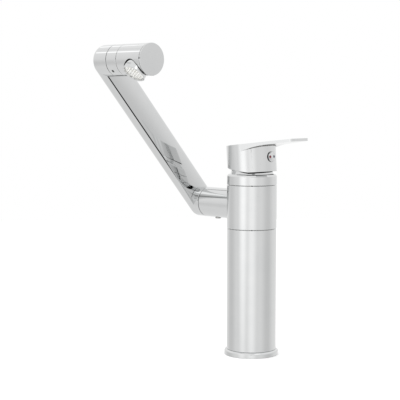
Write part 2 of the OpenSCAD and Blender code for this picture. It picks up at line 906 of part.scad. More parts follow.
// The same with the crowned inner side, whose rounding runs on under the crown
module arm_half_section() {
    arm_outer_section();
    intersection() {
        translate([0, arm_in + arm_crown_r + crown_sink]) circle(r = arm_crown_r);
        translate([0, arm_in]) square([crown_x, arm_round_z - arm_in + blend]);
    }
    intersection() {
        translate([arm_round_x, arm_round_z]) circle(r = arm_round_in);
        translate([crown_x - crown_lap, arm_in]) square([arm_half, arm_round_z - arm_in]);
    }
}

// Round end of the arm with its hub, turned through half a circle
module arm_end(hub_end) {
    rotate_extrude(angle = 180) {
        arm_outer_section();
        polygon([
            [0, hub_end], [arm_half - edge, hub_end], [arm_half, hub_end + edge],
            [arm_half, arm_round_z], [0, arm_round_z]]);
    }
}

// The other half of a hub, which stands on the arm's flat face
module hub_half(hub_end) {
    rotate_extrude(angle = 180) polygon([
        [0, hub_end], [arm_half - edge, hub_end], [arm_half, hub_end + edge],
        [arm_half, arm_round_z], [0, arm_round_z]]);
}

module arm() {
    color("gainsboro") arm_frame() difference() {
        union() {
            translate([0, arm_length, 0]) rotate([90, 0, 0]) linear_extrude(arm_length) {
                arm_half_section();
                mirror([1, 0]) arm_half_section();
            }
            rotate([0, 0, 180]) arm_end(elbow_hub_end);
            hub_half(elbow_hub_end);
            translate([0, arm_length, 0]) {
                arm_end(head_hub_end);
                rotate([0, 0, 180]) hub_half(head_hub_end);
            }
        }
        rod(0, shaft_socket, elbow_shaft_r + thread_gap);
        rod(0, arm_mid + arm_bore / 2, elbow_shaft_bore / 2);
        translate([0, arm_length, 0]) {
            rod(0, shaft_socket, head_shaft_r + thread_gap);
            rod(0, arm_mid + arm_bore / 2, head_shaft_bore / 2);
        }
        translate([0, arm_length, arm_mid]) rotate([90, 0, 0]) cylinder(h = arm_length, r = arm_bore / 2);
    }
}

module head_shaft() {
    color("goldenrod") head_frame()
        hollow_shaft(ring_end, shaft_socket, head_shaft_r, head_shaft_bore / 2, head_screw_at,
            head_screw_r, head_seals);
}

module head_o_rings() {
    color("dimgray") head_frame() for (at = head_seals) {
        seal_ring(at, head_bore_r - o_ring, seal_r - running_gap / 2);
    }
}

module head_ring() {
    color("gainsboro") difference() {
        head_frame() difference() {
            union() {
                sleeve(ring_end, ring_out, arm_half, head_bore_r);
                rod(ring_end - spigot_len, ring_end + over, spigot_r);
            }
            rod(ring_end - spigot_len - over, ring_out + over, head_bore_r);
        }
        head_side_frame(head_screw_at, head_screw_angle) rod(0, arm_w, head_screw_r + thread_gap);
    }
}

module head_grub_screw() {
    color("dimgray") head_side_frame(head_screw_at, head_screw_angle)
        grub_screw(head_shaft_r - groove_depth + 0.3, arm_half - 0.6, head_screw_r);
}

module head_shell() {
    color("gainsboro") difference() {
        head_frame() difference() {
            sleeve(shell_end, shell_out, arm_half, 0);
            rod(shell_out - spigot_len - 0.4, shell_out + over, spigot_r + thread_gap);
            rod(outlet_at, shell_out, head_shaft_bore / 2 + 2);
            rod(shell_end - over, shell_end + 0.7, arm_half / 2);
        }
        head_side_frame(outlet_at, outlet_angle) {
            rod(0, aerator_back, aerator_in_r - 1.5);
            rod(aerator_back - washer_t, arm_w, aerator_r + thread_gap);
            rod(head_bore_len, arm_w, aerator_r + aerator_gap);
        }
    }
}

module head_end_cap() {
    color("lightgray") head_frame() {
        sleeve(cap_end, cap_out, arm_half, 0);
        rod(cap_out, shell_end + 0.6, arm_half / 2 - thread_gap);
    }
}

module aerator_washer() {
    color("dimgray") head_side_frame(outlet_at, outlet_angle)
        tube(aerator_back - washer_t, aerator_back, aerator_r - 0.1, aerator_in_r - 1.5);
}

module aerator_collar() {
    flat_at = aerator_r - 0.7;
    color("gainsboro") head_side_frame(outlet_at, outlet_angle) difference() {
        sleeve(aerator_back, mouth_reach, aerator_r, aerator_in_r, 0.4);
        rotate_extrude() polygon([
            [0, mouth_reach + over], [aerator_in_r + 0.5 + over, mouth_reach + over],
            [aerator_in_r, mouth_reach - 0.5], [0, mouth_reach - 0.5]]);
        for (side = [-1, 1]) {
            translate([side * (flat_at + aerator_r), 0, mouth_reach])
                cube([2 * aerator_r, 9, 9], center = true);
        }
    }
}

// Plastic disc with a hexagonal field of small holes
module aerator_former() {
    pitch = former_r / 4.4;
    color("whitesmoke") head_side_frame(outlet_at, outlet_angle) difference() {
        rod(former_front - former_t, former_front, former_r);
        for (row = [-3:3]) {
            for (step = [0:6 - abs(row)]) {
                translate([(step - (6 - abs(row)) / 2) * pitch * 1.18, row * pitch * 1.02, 0])
                    rod(former_front - former_t - over, former_front + over, pitch * 0.36);
            }
        }
    }
}

module aerator_screen() {
    color("silver") head_side_frame(outlet_at, outlet_angle)
        rod(former_front - former_t - 0.5, former_front - former_t, former_r);
}

module fixing_stud() {
    color("silver") translate([stud_x, 0, 0]) rotate_extrude() polygon([
        [0, -stud_drop], [stud_tip_r - edge, -stud_drop], [stud_tip_r, edge - stud_drop],
        [stud_tip_r, stud_tip - stud_drop], [stud_d / 2, stud_tip - stud_drop + stud_d / 2 - stud_tip_r],
        [stud_d / 2, stud_top], [0, stud_top]]);
}

// Round plate with a slot for the hoses, open to the back, and a hole for the stud
module horseshoe(z0, z1) {
    slot_x = stud_x - stud_d / 2 - 2 - hose_slot / 2;
    difference() {
        rod(z0, z1, clamp_d / 2);
        translate([slot_x, 0, 0]) rod(z0 - over, z1 + over, hose_slot / 2);
        translate([slot_x - clamp_d, -hose_slot / 2, z0 - over])
            cube([clamp_d, hose_slot, z1 - z0 + 2 * over]);
        translate([stud_x, 0, 0]) rod(z0 - over, z1 + over, stud_d / 2 + 0.3);
    }
}

module deck_gasket() {
    color("dimgray") horseshoe(clamp_top, -deck_t);
}

module clamp_washer() {
    color("lightsteelblue") horseshoe(nut_top, clamp_top);
}

module fixing_nut() {
    color("goldenrod") translate([stud_x, 0, 0]) difference() {
        translate([0, 0, nut_top - nut_h]) cylinder(h = nut_h, r = nut_flats / sqrt(3), $fn = 6);
        rod(nut_top - nut_h - over, nut_top + over, stud_d / 2 + thread_gap);
    }
}

base_flange();
base_gasket();
inlet_block();
lower_column();
hot_riser();
cold_riser();
valve_body();
lower_glide_ring();
upper_glide_ring();
swivel_o_rings();
collar_ring();
neck_dome();
cartridge_nut();
cartridge_housing();
cartridge_base();
cartridge_seals();
fixed_disc();
moving_disc();
disc_carrier();
lever_turret();
lever_pin();
lever_spindle();
handle();
handle_grub_screw();
index_plug();
hot_mark();
cold_mark();
swivel_section();
elbow_grub_screw();
elbow_shaft();
elbow_o_rings();
arm();
head_shaft();
head_o_rings();
head_ring();
head_grub_screw();
head_shell();
head_end_cap();
aerator_washer();
aerator_collar();
aerator_former();
aerator_screen();
fixing_stud();
deck_gasket();
clamp_washer();
fixing_nut();
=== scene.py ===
import math

import bpy
from mathutils import Matrix, Vector


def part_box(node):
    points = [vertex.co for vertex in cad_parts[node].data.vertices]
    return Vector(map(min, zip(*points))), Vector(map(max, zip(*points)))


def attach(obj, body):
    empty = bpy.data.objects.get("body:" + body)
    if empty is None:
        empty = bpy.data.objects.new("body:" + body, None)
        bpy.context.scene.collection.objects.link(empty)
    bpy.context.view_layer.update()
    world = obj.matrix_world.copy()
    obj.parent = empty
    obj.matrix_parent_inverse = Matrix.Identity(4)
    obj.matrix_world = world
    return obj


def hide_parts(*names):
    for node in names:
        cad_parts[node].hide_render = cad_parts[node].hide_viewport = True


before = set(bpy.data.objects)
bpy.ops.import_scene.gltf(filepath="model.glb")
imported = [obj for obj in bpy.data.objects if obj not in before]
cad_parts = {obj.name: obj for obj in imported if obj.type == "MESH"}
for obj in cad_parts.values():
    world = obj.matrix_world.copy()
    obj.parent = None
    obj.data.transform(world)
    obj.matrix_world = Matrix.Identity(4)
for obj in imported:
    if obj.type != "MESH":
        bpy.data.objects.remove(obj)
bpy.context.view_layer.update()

# Colours of the finishes, linear
CHROME = (0.66, 0.665, 0.665)
CHROME_DEEP = (0.645, 0.652, 0.653)
BRASS = (0.72, 0.52, 0.24)
BRASS_DULL = (0.55, 0.39, 0.17)
COPPER = (0.80, 0.42, 0.27)
COPPER_DULL = (0.55, 0.27, 0.17)
STEEL = (0.52, 0.52, 0.51)
STEEL_DULL = (0.38, 0.38, 0.37)
RUBBER = (0.022, 0.022, 0.023)
RUBBER_DUSTY = (0.045, 0.044, 0.043)
WHITE_PLASTIC = (0.78, 0.78, 0.76)
WHITE_PLASTIC_AGED = (0.72, 0.71, 0.67)
GREY_PLASTIC = (0.20, 0.21, 0.22)
GREY_PLASTIC_PALE = (0.27, 0.28, 0.29)
CERAMIC = (0.83, 0.82, 0.79)
CERAMIC_LAPPED = (0.76, 0.76, 0.74)
RED_ENAMEL = (0.20, 0.008, 0.022)
RED_ENAMEL_DEEP = (0.13, 0.006, 0.018)
BLUE_ENAMEL = (0.010, 0.022, 0.075)
BLUE_ENAMEL_DEEP = (0.008, 0.016, 0.050)
# Near-black painted shade in the seams, bores and hollows between parts
PAINTED_RECESS_SHADE = (0.035, 0.035, 0.036)
# Grey painted shade along the corner under the lever's root
PAINTED_ROOT_SHADE = (0.28, 0.28, 0.275)

# Roughness of the painted shade in the hollows and along the lever's root, and the depth of the fine relief
# on every finish
RECESS_SHADE_GLOSS = 0.5
ROOT_SHADE_GLOSS = 0.45
RELIEF_DEPTH = 0.0002


def new_group(name, inputs, outputs):
    group = bpy.data.node_groups.new(name, "ShaderNodeTree")
    for label, kind, value in inputs:
        socket = group.interface.new_socket(name=label, in_out="INPUT", socket_type="NodeSocket" + kind)
        if kind != "Vector":
            socket.default_value = value
    for label, kind in outputs:
        group.interface.new_socket(name=label, in_out="OUTPUT", socket_type="NodeSocket" + kind)
    start = group.nodes.new("NodeGroupInput")
    end = group.nodes.new("NodeGroupOutput")
    return group, start, end


def add_node(tree, kind, settings=None, values=None):
    node = tree.nodes.new("ShaderNode" + kind)
    for key, value in (settings or {}).items():
        setattr(node, key, value)
    for key, value in (values or {}).items():
        node.inputs[key].default_value = value
    return node


def maths(tree, operation, first, second=None, third=None):
    node = add_node(tree, "Math", {"operation": operation})
    for socket, value in zip(node.inputs, (first, second, third)):
        if value is None:
            continue
        if isinstance(value, bpy.types.NodeSocket):
            tree.links.new(value, socket)
        else:
            socket.default_value = value
    return node.outputs[0]


def soft_step(tree, **values):
    """Smooth step between two values. Names are those of Map Range's sockets."""
    settings = {"interpolation_type": "SMOOTHSTEP"}
    sockets = {name.replace("_", " ").title(): value for name, value in values.items()}
    return add_node(tree, "MapRange", settings, sockets)


def build_handled_surface():
    """Patches of two close tones, wiped smears in the gloss and a fine grain."""
    group, start, end = new_group(
        "handled_surface",
        [
            ("Place", "Vector", None),
            ("Tone", "Color", (0.6, 0.6, 0.6, 1)),
            ("Other Tone", "Color", (0.5, 0.5, 0.5, 1)),
            ("Patch Scale", "Float", 60.0),
            ("Gloss Low", "Float", 0.05),
            ("Gloss High", "Float", 0.12),
            ("Smear Scale", "Float", 90.0),
            ("Grain Scale", "Float", 2500.0),
            ("Grain Depth", "Float", 0.2),
        ],
        [("Color", "Color"), ("Roughness", "Float"), ("Height", "Float")],
    )
    links = group.links
    patches = add_node(group, "TexNoise", None, {"Detail": 3.0, "Roughness": 0.55})
    links.new(start.outputs["Place"], patches.inputs["Vector"])
    links.new(start.outputs["Patch Scale"], patches.inputs["Scale"])
    patch_mask = soft_step(group, from_min=0.35, from_max=0.7)
    links.new(patches.outputs["Fac"], patch_mask.inputs["Value"])
    tones = add_node(group, "Mix", {"data_type": "RGBA"})
    links.new(patch_mask.outputs["Result"], tones.inputs["Factor"])
    links.new(start.outputs["Tone"], tones.inputs["A"])
    links.new(start.outputs["Other Tone"], tones.inputs["B"])
    links.new(tones.outputs["Result"], end.inputs["Color"])

    smears = add_node(group, "TexNoise", None, {"Detail": 5.0, "Roughness": 0.6, "Distortion": 0.8})
    links.new(start.outputs["Place"], smears.inputs["Vector"])
    links.new(start.outputs["Smear Scale"], smears.inputs["Scale"])
    gloss = soft_step(group, from_min=0.42, from_max=0.78)
    links.new(smears.outputs["Fac"], gloss.inputs["Value"])
    links.new(start.outputs["Gloss Low"], gloss.inputs["To Min"])
    links.new(start.outputs["Gloss High"], gloss.inputs["To Max"])
    links.new(gloss.outputs["Result"], end.inputs["Roughness"])

    grain = add_node(group, "TexNoise", None, {"Detail": 2.0})
    links.new(start.outputs["Place"], grain.inputs["Vector"])
    links.new(start.outputs["Grain Scale"], grain.inputs["Scale"])
    depth = maths(group, "MULTIPLY", grain.outputs["Fac"], start.outputs["Grain Depth"])
    links.new(depth, end.inputs["Height"])
    return group


def build_lathe_lines():
    """Fine rings that a cutting tool leaves, by height and by distance from an upright axis."""
    group, start, end = new_group(
        "lathe_lines",
        [("Place", "Vector", None), ("Ring Scale", "Float", 9000.0), ("Depth", "Float", 0.3)],
        [("Height", "Float"), ("Mask", "Float")],
    )
    links = group.links
    parts = add_node(group, "SeparateXYZ")
    links.new(start.outputs["Place"], parts.inputs[0])
    across = maths(
        group,
        "SQRT",
        maths(
            group,
            "ADD",
            maths(group, "MULTIPLY", parts.outputs["X"], parts.outputs["X"]),
            maths(group, "MULTIPLY", parts.outputs["Y"], parts.outputs["Y"]),
        ),
    )
    run = maths(
        group, "MULTIPLY", maths(group, "ADD", across, parts.outputs["Z"]), start.outputs["Ring Scale"])
    rings = add_node(
        group, "TexNoise", {"noise_dimensions": "1D"}, {"Scale": 1.0, "Detail": 3.0, "Roughness": 0.7})
    links.new(run, rings.inputs["W"])
    links.new(rings.outputs["Fac"], end.inputs["Mask"])
    links.new(maths(group, "MULTIPLY", rings.outputs["Fac"], start.outputs["Depth"]), end.inputs["Height"])
    return group


def build_within_bore():
    """Soft masks of what lies inside and outside a round bore, between two heights along its own axis."""
    group, start, end = new_group(
        "within_bore",
        [
            ("Place", "Vector", None),
            ("Bore Point", "Vector", None),
            ("Bore Axis", "Vector", None),
            ("Bore Radius", "Float", 0.02),
            ("Bore Low", "Float", -1.0),
            ("Bore High", "Float", 1.0),
            ("Soft", "Float", 0.0001),
        ],
        [("Inside", "Float"), ("Outside", "Float")],
    )
    links = group.links
    away = add_node(group, "VectorMath", {"operation": "SUBTRACT"})
    links.new(start.outputs["Place"], away.inputs[0])
    links.new(start.outputs["Bore Point"], away.inputs[1])
    along = add_node(group, "VectorMath", {"operation": "DOT_PRODUCT"})
    links.new(away.outputs["Vector"], along.inputs[0])
    links.new(start.outputs["Bore Axis"], along.inputs[1])
    across = add_node(group, "VectorMath", {"operation": "CROSS_PRODUCT"})
    links.new(away.outputs["Vector"], across.inputs[0])
    links.new(start.outputs["Bore Axis"], across.inputs[1])
    reach = add_node(group, "VectorMath", {"operation": "LENGTH"})
    links.new(across.outputs["Vector"], reach.inputs[0])

    def past(value, limit):
        edge = soft_step(group)
        links.new(value, edge.inputs["Value"])
        links.new(start.outputs[limit], edge.inputs["From Min"])
        links.new(maths(group, "ADD", start.outputs[limit], start.outputs["Soft"]), edge.inputs["From Max"])
        return edge.outputs["Result"]

    beyond = past(reach.outputs["Value"], "Bore Radius")
    above = past(along.outputs["Value"], "Bore Low")
    below = maths(group, "SUBTRACT", 1.0, past(along.outputs["Value"], "Bore High"))
    level = maths(group, "MULTIPLY", above, below)
    links.new(maths(group, "MULTIPLY", level, maths(group, "SUBTRACT", 1.0, beyond)), end.inputs["Inside"])
    links.new(maths(group, "MULTIPLY", level, beyond), end.inputs["Outside"])
    return group


def build_painted_root_shade():
    """Thin broken line of painted shade in the corner where the lever's curved underside meets the hub."""
    group, start, end = new_group(
        "painted_root_shade",
        [
            ("Place", "Vector", None),
            ("Pivot", "Vector", None),
            ("Hub Axis", "Vector", None),
            ("Lever Axis", "Vector", None),
            ("Hub Radius", "Float", 0.0246),
            ("Root Reach", "Float", 0.032),
            ("Root Height", "Float", 0.02),
            ("Under Slope", "Float", 0.1),
            ("Curve", "Float", 5.0),
            ("Width", "Float", 0.0006),
        ],
        [("Mask", "Float")],
    )
    links = group.links
    away = add_node(group, "VectorMath", {"operation": "SUBTRACT"})
    links.new(start.outputs["Place"], away.inputs[0])
    links.new(start.outputs["Pivot"], away.inputs[1])
    measured = []
    measures = (("DOT_PRODUCT", "Hub Axis"), ("DOT_PRODUCT", "Lever Axis"), ("CROSS_PRODUCT", "Hub Axis"))
    for operation, axis in measures:
        node = add_node(group, "VectorMath", {"operation": operation})
        links.new(away.outputs["Vector"], node.inputs[0])
        links.new(start.outputs[axis], node.inputs[1])
        measured.append(node)
    height, reach = measured[0].outputs["Value"], measured[1].outputs["Value"]
    across = add_node(group, "VectorMath", {"operation": "LENGTH"})
    links.new(measured[2].outputs["Vector"], across.inputs[0])
    back = maths(group, "SUBTRACT", start.outputs["Root Reach"], reach)
    fall = maths(
        group,
        "MULTIPLY",
        back,
        maths(group, "MULTIPLY_ADD", back, start.outputs["Curve"], start.outputs["Under Slope"]),
    )
    under = maths(group, "SUBTRACT", start.outputs["Root Height"], fall)
    width = start.outputs["Width"]
    from_corner = []
    for value, level in ((across.outputs["Value"], start.outputs["Hub Radius"]), (height, under)):
        gap = maths(group, "DIVIDE", maths(group, "SUBTRACT", value, level), width)
        from_corner.append(maths(group, "MULTIPLY", gap, gap))
    spread = maths(group, "SQRT", maths(group, "ADD", *from_corner))
    near = soft_step(group, from_min=0.6, from_max=1.2, to_min=1.0, to_max=0.0)
    links.new(spread, near.inputs["Value"])
    front = soft_step(group, from_min=0.006, from_max=0.014)
    links.new(reach, front.inputs["Value"])
    uneven = add_node(group, "TexNoise", None, {"Scale": 350.0, "Detail": 3.0})
    links.new(start.outputs["Place"], uneven.inputs["Vector"])
    broken = soft_step(group, from_min=0.25, from_max=0.5, to_min=0.55, to_max=1.0)
    links.new(uneven.outputs["Fac"], broken.inputs["Value"])
    shown = maths(group, "MULTIPLY", near.outputs["Result"], front.outputs["Result"])
    links.new(maths(group, "MULTIPLY", shown, broken.outputs["Result"]), end.inputs["Mask"])
    return group


handled_surface = build_handled_surface()
lathe_lines = build_lathe_lines()
within_bore = build_within_bore()
painted_root_shade = build_painted_root_shade()


def finish_material(name, tone, other_tone, metal, gloss, patch=60.0, smear=90.0, grain=2500.0,
                    grain_depth=0.15, bump=0.02, ring_depth=0.0, ior=1.5):
    """Material of patches, smears and grain over a tone, with turned rings where a ring depth is given."""
    material = bpy.data.materials.new(name)
    material.use_nodes = True
    tree = material.node_tree
    shader = tree.nodes["Principled BSDF"]
    shader.inputs["Metallic"].default_value = metal
    shader.inputs["IOR"].default_value = ior
    place = add_node(tree, "TexCoord")
    surface = tree.nodes.new("ShaderNodeGroup")
    surface.node_tree = handled_surface
    surface.inputs["Tone"].default_value = (*tone, 1)
    surface.inputs["Other Tone"].default_value = (*other_tone, 1)
    surface.inputs["Patch Scale"].default_value = patch
    surface.inputs["Gloss Low"].default_value = gloss[0]
    surface.inputs["Gloss High"].default_value = gloss[1]
    surface.inputs["Smear Scale"].default_value = smear
    surface.inputs["Grain Scale"].default_value = grain
    surface.inputs["Grain Depth"].default_value = grain_depth
    tree.links.new(place.outputs["Object"], surface.inputs["Place"])
    tree.links.new(surface.outputs["Color"], shader.inputs["Base Color"])
    tree.links.new(surface.outputs["Roughness"], shader.inputs["Roughness"])
    height = surface.outputs["Height"]
    if ring_depth:
        rings = tree.nodes.new("ShaderNodeGroup")
        rings.node_tree = lathe_lines
        rings.inputs["Depth"].default_value = ring_depth
        tree.links.new(place.outputs["Object"], rings.inputs["Place"])
        height = maths(tree, "ADD", height, rings.outputs["Height"])
    relief = add_node(tree, "Bump", None, {"Strength": bump, "Distance": RELIEF_DEPTH})
    tree.links.new(height, relief.inputs["Height"])
    tree.links.new(relief.outputs["Normal"], shader.inputs["Normal"])
    return material


def cover(material, mask, tone, gloss):
    """Puts another tone and gloss over a finish where the mask is."""
    tree = material.node_tree
    shader = tree.nodes["Principled BSDF"]
    for name, kind, value in (("Base Color", "RGBA", (*tone, 1)), ("Roughness", "FLOAT", gloss)):
        below = shader.inputs[name].links[0].from_socket
        node = add_node(tree, "Mix", {"data_type": kind})
        tree.links.new(mask, node.inputs["Factor"])
        tree.links.new(below, node.inputs["A"])
        node.inputs["B"].default_value = value
        tree.links.new(node.outputs["Result"], shader.inputs[name])


def place_mask(material, group, output, **values):
    """Mask of a node group in a material, by place. Names are those of the group's sockets."""
    tree = material.node_tree
    node = tree.nodes.new("ShaderNodeGroup")
    node.node_tree = group
    tree.links.new(tree.nodes["Texture Coordinate"].outputs["Object"], node.inputs["Place"])
    for name, value in values.items():
        node.inputs[name.replace("_", " ").title()].default_value = value
    return node.outputs[output]


# The handle stands turned and lifted a little on its pivot: the hub's axis and the index plug's axis.
# Heights in the hub count from the pivot along the hub's axis
HANDLE_PIVOT = (0.0, 0.0, 0.189)
HUB_AXIS = (-0.0660, -0.00635, 0.9978)
PLUG_AXIS = (0.9932, 0.0956, 0.0663)
PLUG_POINT = (-0.00057, -0.00006, 0.19768)
HUB_BORE_R = 0.0230
HUB_R = 0.02465
HUB_ROOF_Z = 0.0180
HUB_FOOT_Z = -0.00565
HUB_MOUTH_Z = -0.0056
HUB_CLEAR_R = HUB_R + 0.001
BACK_CUT_NORMAL = (0.12472, 0.01201, 0.99212)
BACK_CUT_Z = -0.00335
BACK_CUT_R = 0.1
PLUG_FACE_R = 0.0050
PLUG_FACE = 0.02615
PLUG_FACE_ROUND = 0.01456
LEVER_ROOT_REACH = 0.0320
LEVER_ROOT_Z = 0.02065
LEVER_UNDER_SLOPE = 0.0594
LEVER_ROOT_CURVE_R = 0.092
LEVER_ROOT_CURVE = 1 / (2 * LEVER_ROOT_CURVE_R)
ROOT_LINE_W = 0.0006

# The stub, the arm and the head are turned parts on two axes that run along -X
ARM_AXIS = (-1.0, 0.0, 0.0)
ELBOW_POINT = (0.0, 0.0, 0.150)
HEAD_POINT = (0.0, -0.125898, 0.292300)
SEAM_R = 0.01490
STUB_END = 0.0610
ARM_FOOT = 0.0670
CAP_BACK = 0.0083
OUTLET_POINT = (-0.0220, HEAD_POINT[1], HEAD_POINT[2])
mouth_low, mouth_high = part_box("aerator_collar")
OUTLET_AXIS = tuple(((Vector(mouth_low) + Vector(mouth_high)) / 2 - Vector(OUTLET_POINT)).normalized())
OUTLET_BORE_R = 0.01226
OUTLET_BORE_START = 0.001

polished_chrome = finish_material(
    "polished_chrome", CHROME, CHROME_DEEP, 1.0, (0.035, 0.075), bump=0.01, grain_depth=0.1)
swivel_chrome = finish_material(
    "swivel_chrome", CHROME, CHROME_DEEP, 1.0, (0.035, 0.075), bump=0.01, grain_depth=0.1)
# Painted shade: the swivel stub's end face inside the seam is painted near-black
stub_face = place_mask(
    swivel_chrome, within_bore, "Inside", bore_point=ELBOW_POINT, bore_axis=ARM_AXIS, bore_radius=SEAM_R,
    bore_low=STUB_END)
cover(swivel_chrome, stub_face, PAINTED_RECESS_SHADE, RECESS_SHADE_GLOSS)
arm_chrome = finish_material(
    "arm_chrome", CHROME, CHROME_DEEP, 1.0, (0.03, 0.075), bump=0.01, grain_depth=0.1)
# Painted shade: the arm's end faces inside both seams are painted near-black
for joint_point in (ELBOW_POINT, HEAD_POINT):
    arm_face = place_mask(
        arm_chrome, within_bore, "Inside", bore_point=joint_point, bore_axis=ARM_AXIS, bore_radius=SEAM_R,
        bore_high=ARM_FOOT)
    cover(arm_chrome, arm_face, PAINTED_RECESS_SHADE, RECESS_SHADE_GLOSS)
head_chrome = finish_material(
    "head_chrome", CHROME, CHROME_DEEP, 1.0, (0.03, 0.075), bump=0.01, grain_depth=0.1)
# Painted shade: the head parts' faces within the seam's radius, past the end cap's back, are painted
# near-black
head_faces = place_mask(
    head_chrome, within_bore, "Inside", bore_point=HEAD_POINT, bore_axis=ARM_AXIS, bore_radius=SEAM_R,
    bore_low=CAP_BACK)
cover(head_chrome, head_faces, PAINTED_RECESS_SHADE, RECESS_SHADE_GLOSS)
# Painted shade: the outlet bore's wall round the aerator is painted near-black
outlet_bore = place_mask(
    head_chrome, within_bore, "Inside", bore_point=OUTLET_POINT, bore_axis=OUTLET_AXIS,
    bore_radius=OUTLET_BORE_R, bore_low=OUTLET_BORE_START)
cover(head_chrome, outlet_bore, PAINTED_RECESS_SHADE, RECESS_SHADE_GLOSS)

handled_chrome = finish_material(
    "handled_chrome", CHROME, CHROME_DEEP, 1.0, (0.03, 0.11),
    patch=45.0, smear=140.0, bump=0.01, grain_depth=0.1)
# Painted shade: the hub's inside, its foot and its back cut face under the handle are painted near-black
inside_hub = place_mask(
    handled_chrome, within_bore, "Inside", bore_point=HANDLE_PIVOT, bore_axis=HUB_AXIS,
    bore_radius=HUB_BORE_R, bore_low=HUB_MOUTH_Z, bore_high=HUB_ROOF_Z)
cover(handled_chrome, inside_hub, PAINTED_RECESS_SHADE, RECESS_SHADE_GLOSS)
hub_foot_face = place_mask(
    handled_chrome, within_bore, "Inside", bore_point=HANDLE_PIVOT, bore_axis=HUB_AXIS,
    bore_radius=HUB_CLEAR_R, bore_high=HUB_FOOT_Z)
cover(handled_chrome, hub_foot_face, PAINTED_RECESS_SHADE, RECESS_SHADE_GLOSS)
hub_back_face = place_mask(
    handled_chrome, within_bore, "Inside", bore_point=HANDLE_PIVOT, bore_axis=BACK_CUT_NORMAL,
    bore_radius=BACK_CUT_R, bore_high=BACK_CUT_Z)
cover(handled_chrome, hub_back_face, PAINTED_RECESS_SHADE, RECESS_SHADE_GLOSS)
# Painted shade: a thin broken grey line in the corner under the lever's root
root_corner_shade = place_mask(
    handled_chrome, painted_root_shade, "Mask", pivot=HANDLE_PIVOT, hub_axis=HUB_AXIS, lever_axis=PLUG_AXIS,
    hub_radius=HUB_R, root_reach=LEVER_ROOT_REACH, root_height=LEVER_ROOT_Z, under_slope=LEVER_UNDER_SLOPE,
    curve=LEVER_ROOT_CURVE, width=ROOT_LINE_W)
cover(handled_chrome, root_corner_shade, PAINTED_ROOT_SHADE, ROOT_SHADE_GLOSS)
plug_chrome = finish_material(
    "plug_chrome", CHROME, CHROME_DEEP, 1.0, (0.05, 0.12),
    patch=300.0, smear=400.0, bump=0.02, grain_depth=0.1)
# Painted shade: the index plug's side wall in its recess is painted near-black
plug_side = place_mask(
    plug_chrome, within_bore, "Outside", bore_point=PLUG_POINT, bore_axis=PLUG_AXIS, bore_radius=PLUG_FACE_R)
cover(plug_chrome, plug_side, PAINTED_RECESS_SHADE, RECESS_SHADE_GLOSS)
turned_brass = finish_material(
    "turned_brass", BRASS, BRASS_DULL, 1.0, (0.22, 0.38),
    patch=110.0, grain=3500.0, bump=0.25, ring_depth=0.6)
pressed_brass = finish_material(
    "pressed_brass", BRASS, BRASS_DULL, 1.0, (0.26, 0.42), patch=150.0, grain=4000.0, bump=0.3)
drawn_copper = finish_material(
    "drawn_copper", COPPER, COPPER_DULL, 1.0, (0.2, 0.4), patch=70.0, bump=0.15)
zinc_steel = finish_material(
    "zinc_steel", STEEL, STEEL_DULL, 1.0, (0.28, 0.45), patch=200.0, bump=0.3, ring_depth=0.25)
seal_rubber = finish_material(
    "seal_rubber", RUBBER, RUBBER_DUSTY, 0.0, (0.55, 0.75),
    patch=220.0, grain=6000.0, grain_depth=0.5, bump=0.25)
white_moulding = finish_material(
    "white_moulding", WHITE_PLASTIC, WHITE_PLASTIC_AGED, 0.0, (0.32, 0.45),
    patch=120.0, grain=5000.0, bump=0.15)
grey_moulding = finish_material(
    "grey_moulding", GREY_PLASTIC, GREY_PLASTIC_PALE, 0.0, (0.38, 0.52), patch=140.0, grain=5000.0, bump=0.2)
lapped_ceramic = finish_material(
    "lapped_ceramic", CERAMIC, CERAMIC_LAPPED, 0.0, (0.12, 0.2), patch=260.0, grain=7000.0, bump=0.1)
red_enamel = finish_material(
    "red_enamel", RED_ENAMEL, RED_ENAMEL_DEEP, 0.0, (0.2, 0.32),
    patch=900.0, grain=9000.0, bump=0.1, ior=1.42)
blue_enamel = finish_material(
    "blue_enamel", BLUE_ENAMEL, BLUE_ENAMEL_DEEP, 0.0, (0.2, 0.32),
    patch=900.0, grain=9000.0, bump=0.1, ior=1.42)

FINISHES = {
    polished_chrome: ["base_flange", "lower_column", "collar_ring", "neck_dome", "aerator_collar"],
    swivel_chrome: ["swivel_section"],
    arm_chrome: ["arm"],
    head_chrome: ["head_ring", "head_shell", "head_end_cap"],
    handled_chrome: ["handle"],
    plug_chrome: ["index_plug"],
    turned_brass: [
        "inlet_block", "valve_body", "elbow_shaft", "head_shaft", "cartridge_nut", "fixing_nut",
    ],
    drawn_copper: ["hot_riser", "cold_riser"],
    zinc_steel: [
        "elbow_grub_screw", "head_grub_screw", "handle_grub_screw", "lever_pin", "fixing_stud",
        "clamp_washer", "aerator_screen",
    ],
    pressed_brass: ["lever_spindle"],
    seal_rubber: [
        "base_gasket", "deck_gasket", "swivel_o_rings", "elbow_o_rings", "head_o_rings",
        "cartridge_seals", "aerator_washer",
    ],
    white_moulding: [
        "lower_glide_ring", "upper_glide_ring", "cartridge_housing", "aerator_former", "lever_turret",
    ],
    grey_moulding: ["cartridge_base", "disc_carrier"],
    lapped_ceramic: ["fixed_disc", "moving_disc"],
    red_enamel: ["hot_mark"],
    blue_enamel: ["cold_mark"],
}


def dress_nodes():
    """Puts each finish in the slots of its nodes."""
    dressed = set()
    for material, names in FINISHES.items():
        for name in names:
            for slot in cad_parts[name].material_slots:
                slot.material = material
            dressed.add(name)
    left = sorted(set(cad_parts) - dressed)
    if left:
        raise RuntimeError(f"nodes without a finish: {left}")


dress_nodes()


SHARP_ANGLE = math.radians(32)


